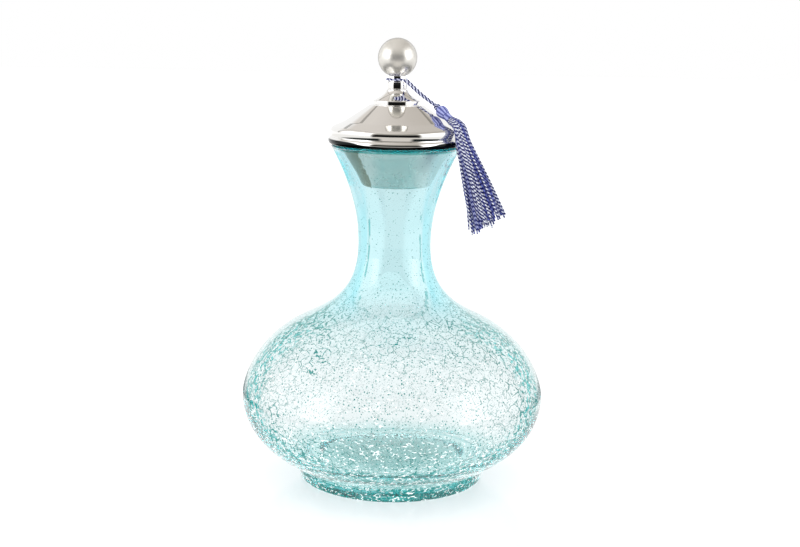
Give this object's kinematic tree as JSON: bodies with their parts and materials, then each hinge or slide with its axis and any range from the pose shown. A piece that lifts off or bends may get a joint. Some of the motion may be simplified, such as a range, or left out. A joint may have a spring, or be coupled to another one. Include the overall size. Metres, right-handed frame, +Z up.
{
  "type": "glass carafe with stopper",
  "caption": "Oblate glass carafe on a foot disc, with a narrow neck and flared mouth, closed by a spun metal stopper with a ball finial and a hanging tassel.",
  "frame": {"origin": "middle of the foot's resting plane, on the axis of the bottle", "axes": "+Z up along the axis of the bottle and stopper; -Y toward the side seen in the picture; +X to the right there, the side on which the tassel hangs"},
  "size_m": [0.1968, 0.1968, 0.2875],
  "materials": {
    "aqua_glass": "clear aqua glass with a fine crackle, smooth outside",
    "polished_nickel": "spun and polished bright metal",
    "plain_steel": "plain steel",
    "periwinkle_thread": "twisted silky thread"
  },
  "bodies": {
    "bottle": {"glass_bottle": "aqua_glass"},
    "stopper": {"lid_dome": "polished_nickel", "lid_plug": "polished_nickel", "finial_stem": "polished_nickel", "finial_ball": "polished_nickel", "finial_stud": "plain_steel", "finial_washer": "plain_steel", "finial_nut": "plain_steel"},
    "tassel": {"tassel_cord": "periwinkle_thread", "tassel_knot": "periwinkle_thread", "tassel_head": "periwinkle_thread", "tassel_binding": "periwinkle_thread", "tassel_skirt": "periwinkle_thread"}
  },
  "joints": [
    {"name": "lid_lift", "type": "slide", "parent": "bottle", "child": "stopper", "axis": [0, 0, 1], "range_m": [0, 0.12]},
    {"name": "tassel_swing", "type": "hinge", "parent": "stopper", "child": "tassel", "pos_m": [0, 0, 0.2614], "axis": [0, 0, 1], "continuous": true}
  ]
}
